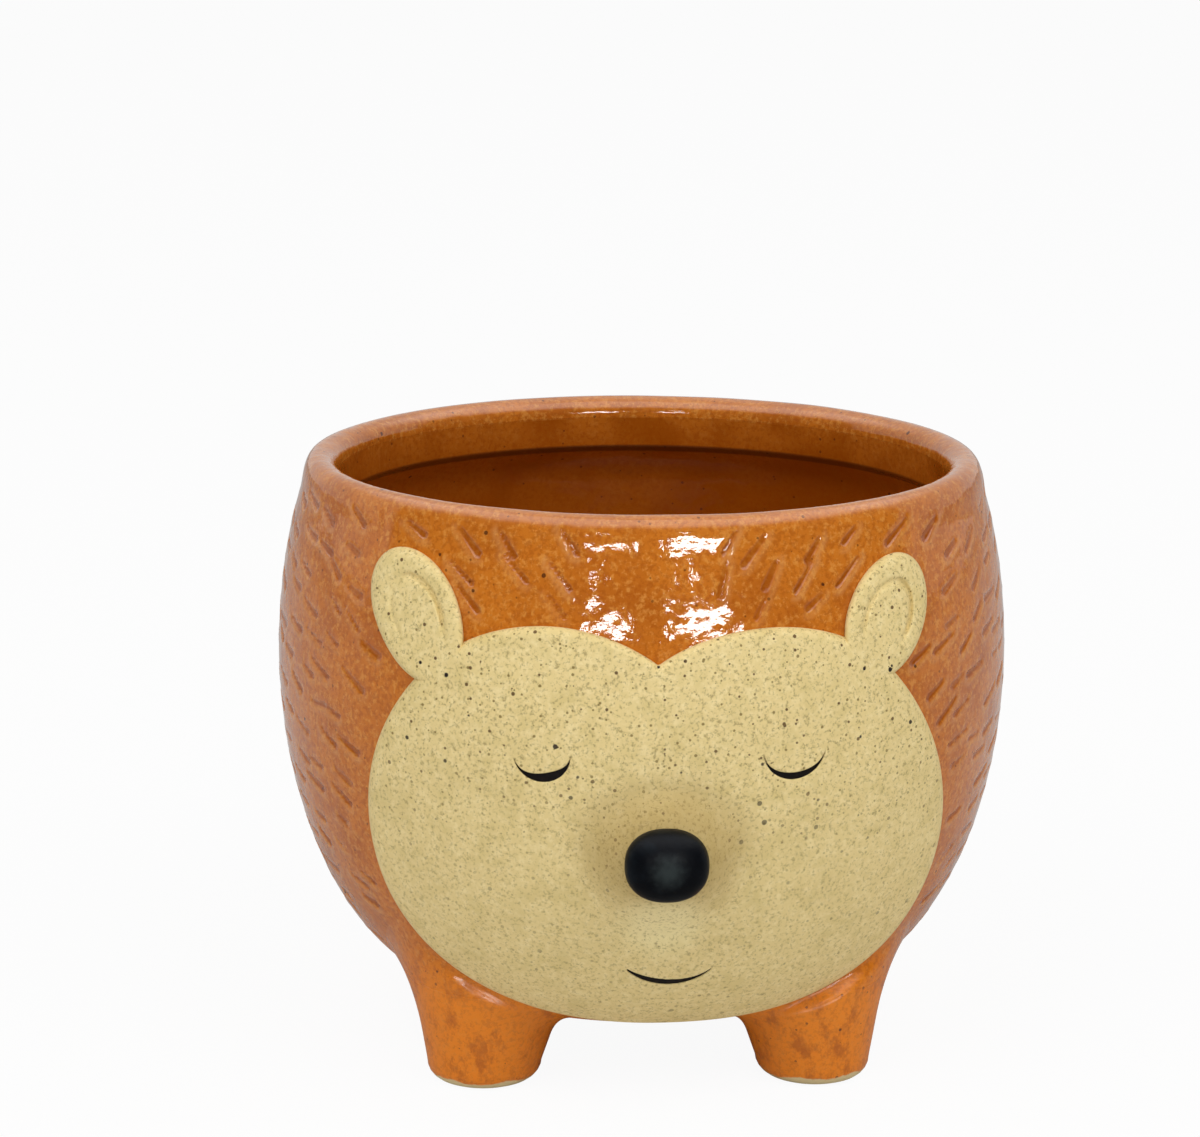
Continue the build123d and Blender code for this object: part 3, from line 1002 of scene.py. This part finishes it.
def ear_places(mesh, hand):
    """Where each vertex of an ear belongs, from its row and its turn, for a hand of -1 or 1."""
    rows, turns = rows_and_turns(mesh)
    share, inset, level = at_rows(ear_table, rows)
    along, aside, front = np.cos(turns), np.sin(turns), level >= 0
    length = np.where(along > 0, ear_half_length, ear_root_lengths[hand])
    right, up = (ear_half_width - inset) * share * aside, (length - inset) * share * along
    lean = math.radians(ear_lean)
    x = hand * (ear_centres[hand][0] + right * math.cos(lean) + up * math.sin(lean))
    z = ear_centres[hand][1] - right * math.sin(lean) + up * math.cos(lean)
    rise = ear_rise + (ear_join_rise - ear_rise) * smooth_step(*ear_join, inside_face(x, z))
    inner, outer = ear_groove_depths[hand]
    depth = inner + (outer - inner) * smooth_step(*ear_groove_turn, aside)
    from_edge = (1 - share) * (ear_half_width - inset) + inset
    groove = np.exp(-((from_edge - ear_groove) / ear_groove_half) ** 2)
    groove *= smooth_step(*ear_groove_open, along) * depth
    hollow = ear_hollow * smooth_step(ear_groove, ear_groove + ear_hollow_edge, from_edge)
    rise = np.where(front, rise - ear_edge * (1 - level) - groove - hollow, level)
    return waved(np.column_stack([x, front_y(x, z, rise), z]), front)


for hand, side in ((-1, "left"), (1, "right")):
    ear = closed_sheet(len(ear_table), ear_columns)
    piece = finished(ear, "clay_ear_" + side, ear_places(ear, hand), "ear_" + side)
    piece.data.materials.append(clay)


# The nose: a ball of clay squared a little between finger and thumb, luted to the snout's tip and
# brushed with a black glaze that fires satin, with a bloom of grey green where it lies thin. Its
# middle is painted a paler grey, a painted highlight.
nose_low, nose_high = box_mm("nose")
nose_depth = 9.6
nose_square = 2.25
nose_share = 0.995
nose_rows, nose_columns = 64, 96
nose_black = paint(4, 6, 11)
nose_bloom = paint(16, 24, 30)
# Painted highlight: the paler grey round the middle of the nose.
nose_painted_highlight = paint(52, 60, 60)
bloom_clouds = (3.2, 4, 0.5, (0.45, 0.8), 0.6)
highlight_ragged = (1.2, 3, 3.0)
highlight_reach, highlight_share = (6.0, 1.5), 0.7
nose_dullness = (1.2, 3, 0.14, 0.36)
nose_tooth, nose_swell = (0.7, 3, 0.03), (3.0, 1, 0.08)

nose = bmesh.new()
bmesh.ops.create_uvsphere(nose, u_segments=nose_columns, v_segments=nose_rows, radius=1)
ball = np.array([vert.co for vert in nose.verts])
ball /= ((np.abs(ball) ** nose_square).sum(axis=1) ** (1 / nose_square))[:, None]
half = np.array([(nose_high.x - nose_low.x) / 2, nose_depth / 2, (nose_high.z - nose_low.z) / 2])
nose_centre = np.array([0, nose_low.y + nose_depth / 2, (nose_low.z + nose_high.z) / 2])
places = nose_centre + ball * half * nose_share


def black_satin():
    finish = Finish(bpy.data.materials.new("black_nose_glaze"))
    # Painted highlight: paler towards the nose's middle.
    away = finish.from_point(nose_centre[2]) + finish.ripple(*highlight_ragged)
    tip = finish.step(away, *highlight_reach) * highlight_share
    colour = finish.layers(nose_black, (finish.patches(*bloom_clouds), nose_bloom), (tip, nose_painted_highlight))
    relief = finish.ripple(*nose_tooth) + finish.ripple(*nose_swell)
    return finish.surface(colour, finish.ripple(*nose_dullness), relief, ior=1.2)


nose_piece = finished(nose, "satin_nose", places, "nose")
nose_piece.data.materials.append(black_satin())


# The drain plug: a soft stopper of grey rubber, pushed into the hole in the floor from above, with a
# knob to pull it by. Its CAD shape stays, with the fine bloom and flow marks of moulded rubber.
rubber_grey = paint(62, 60, 58)
rubber_bloom = paint(88, 85, 80)
rubber_clouds = (2.2, 4, 0.5, (0.35, 0.75))
rubber_dullness = (1.0, 2, 0.2, 0.62)
rubber_tooth = (0.3, 2, 0.03)


def moulded_rubber():
    finish = Finish(bpy.data.materials.new("plug_rubber"))
    colour = finish.layers(rubber_grey, (finish.patches(*rubber_clouds), rubber_bloom))
    return finish.surface(colour, finish.ripple(*rubber_dullness), finish.ripple(*rubber_tooth), ior=1.5)


plug = frame["nodes"]["drain_plug"]
plug.data.materials.clear()
plug.data.materials.append(moulded_rubber())


# The table and its light: a plain white floor under a white sky, and two soft keys from above the
# front. Two windows with small panes over them stand behind the camera, seen only in reflections.
floor_half = 8.0
floor_white = paint(228, 228, 228)
floor_dark = paint(0, 0, 0)
floor_shadow_share = 0.06
# How bright the floor is in reflections, in front of the pot and behind it.
mirror_front, mirror_behind = 0.32, 0.84
mirror_edge = (-0.25, 0.15)

floor_mesh = bmesh.new()
bmesh.ops.create_grid(floor_mesh, x_segments=1, y_segments=1, size=floor_half)
floor_data = bpy.data.meshes.new("floor")
floor_mesh.to_mesh(floor_data)
floor_mesh.free()
floor = bpy.data.objects.new("floor", floor_data)
bpy.context.scene.collection.objects.link(floor)


def white_floor():
    finish = Finish(bpy.data.materials.new("white_floor"))
    depth = finish.step(finish.axis("Y", finish.place()), *mirror_edge)
    level = mirror_front + depth * (mirror_behind - mirror_front)
    colour = finish.layers(floor_white, (finish.ray("Glossy") * (1 - level), floor_dark))
    paper = finish.node("ShaderNodeBsdfDiffuse", None, {"Color": colour})
    glow = finish.node("ShaderNodeEmission", None, {"Color": (1, 1, 1, 1), "Strength": 1.0})
    share = finish.ray("Camera") * (1 - floor_shadow_share)
    mixed = finish.node("ShaderNodeMixShader", None, {0: share, 1: paper, 2: glow})
    return finish.ended("ShaderNodeOutputMaterial", mixed)


floor_data.materials.append(white_floor())

# The sky is white to the camera and lights everything evenly. In reflections it is dark in front, pale
# behind and bright high up, though less so straight behind the pot.
sky_level = 0.6
sky_front, sky_behind, sky_high = 0.05, 0.9, 3.4
sky_edge = (-0.02, 0.16)
high_edge = (0.46, 0.82)
sky_gap = 0.75
aside_edge = (0.01, 0.2)

world = bpy.data.worlds.new("studio")
bpy.context.scene.world = world
sky = Finish(world)
direction = sky.node("ShaderNodeTexCoord", result="Generated")
across = sky.axis("X", direction)
behind = sky.step(sky.axis("Y", direction), *sky_edge)
high = sky.step(sky.axis("Z", direction), *high_edge)
straight_behind = behind * (1 - sky.step(across * across, *aside_edge))
seen, mirrored = sky.ray("Camera"), sky.ray("Glossy")
low_sky = sky_front + behind * (sky_behind - sky_front)
studio = low_sky + high * (1 - straight_behind * sky_gap) * (sky_high - low_sky)
level = seen + (1 - seen) * (mirrored * studio + (1 - mirrored) * sky_level)
sky.ended("ShaderNodeOutputWorld", sky.node("ShaderNodeBackground", None, {"Strength": level}))

camera_place = Vector((-45.8, -741.8, 260.4))
camera_down = 12.39
camera_turn = -2.85
camera_roll = 0.3
camera_lens, camera_film = 113.13, 36

camera_data = bpy.data.cameras.new("camera")
camera_data.lens = camera_lens
camera_data.sensor_fit = "HORIZONTAL"
camera_data.sensor_width = camera_film
camera = bpy.data.objects.new("camera", camera_data)
turned = Matrix.Rotation(math.radians(camera_turn), 4, "Z")
tilted = Matrix.Rotation(math.radians(90 - camera_down), 4, "X")
rolled = Matrix.Rotation(math.radians(camera_roll), 4, "Z")
camera.matrix_world = Matrix.Translation(camera_place * MM) @ (turned @ tilted) @ rolled
bpy.context.scene.collection.objects.link(camera)
bpy.context.scene.camera = camera

# Each lamp is aimed at the pot's middle. It has a bearing from the front and a rise in degrees, a
# distance and a size in metres, a radiance, and whether it is only mirrored or only lights.
lamps = {
    "key_left": (-40, 46, 2.0, (1.3, 1.3), 2.8, False),
    "key_right": (40, 46, 2.0, (1.3, 1.3), 2.8, False),
    "window_left": (-14, 7, 1.6, (0.34, 0.08), 30, True),
    "window_right": (14, 8, 1.6, (0.5, 0.1), 30, True),
    "pane_left": (-17, 17, 1.6, (0.05, 0.05), 30, True),
    "pane_right": (11, 17, 1.6, (0.06, 0.06), 30, True),
}
lamp_target = Vector((0, 0, belly_height)) * MM

for name, (bearing, rise, distance, size, radiance, only_mirrored) in lamps.items():
    data = bpy.data.lights.new(name, "AREA")
    data.shape = "RECTANGLE"
    data.size, data.size_y = size
    data.energy = radiance * math.pi * size[0] * size[1]
    turn, tilt = math.radians(bearing), math.radians(rise)
    away = Vector((math.sin(turn) * math.cos(tilt), -math.cos(turn) * math.cos(tilt), math.sin(tilt)))
    lamp = bpy.data.objects.new(name, data)
    facing = away.to_track_quat("Z", "Y").to_matrix().to_4x4()
    lamp.matrix_world = Matrix.Translation(lamp_target + away * distance) @ facing
    lamp.visible_camera = False
    lamp.visible_diffuse = not only_mirrored
    lamp.visible_glossy = only_mirrored
    bpy.context.scene.collection.objects.link(lamp)

bpy.context.scene.view_settings.view_transform = "Standard"
